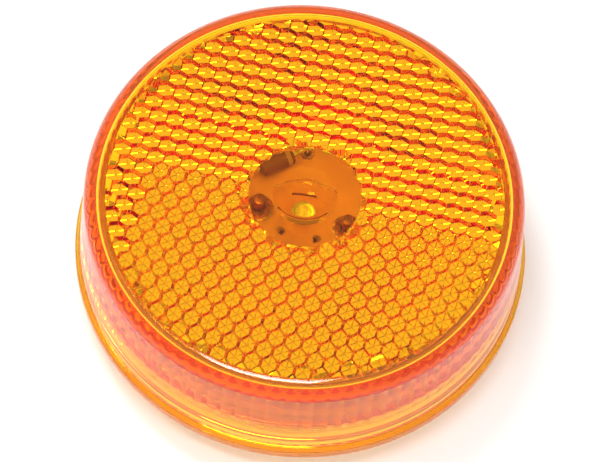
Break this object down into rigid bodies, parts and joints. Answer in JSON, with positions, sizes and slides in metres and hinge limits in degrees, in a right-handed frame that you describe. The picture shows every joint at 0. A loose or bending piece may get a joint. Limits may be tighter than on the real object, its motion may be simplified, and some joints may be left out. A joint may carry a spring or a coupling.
{
  "type": "marker lamp",
  "caption": "Round amber LED marker lamp with a hexagonal prism reflex lens, clear centre window, rounded rim, grommet lip and a recessed plug socket at the back.",
  "frame": {"origin": "centre of the rear face, on the lamp's axis", "axes": "+Z out through the lens, +X along the rows of reflex prisms and the line of the two pins"},
  "size_m": [0.0636, 0.0636, 0.026],
  "materials": {
    "amber_lens": "polished transparent amber",
    "amber_base": "satin amber moulding",
    "sealing_compound": "cured resin",
    "board_laminate": "matt laminate",
    "tinned_brass": "tinned",
    "solder": "bright solder",
    "tinned_wire": "tinned",
    "led_resin": "clear resin",
    "resistor_coating": "lacquered",
    "black_moulding": "moulded"
  },
  "bodies": {
    "root": {"lens": "amber_lens", "rear_base": "amber_base", "epoxy_seal": "sealing_compound", "circuit_board": "board_laminate", "contact_pin_left": "tinned_brass", "contact_pin_right": "tinned_brass", "pin_solder_left": "solder", "pin_solder_right": "solder", "led_package": "led_resin", "led_lead_1": "tinned_wire", "led_lead_2": "tinned_wire", "led_lead_3": "tinned_wire", "led_lead_4": "tinned_wire", "resistor_1": "resistor_coating", "resistor_2": "resistor_coating", "resistor_3": "resistor_coating", "blocking_diode": "black_moulding", "surge_diode": "black_moulding", "wire_link": "tinned_wire"}
  },
  "joints": []
}
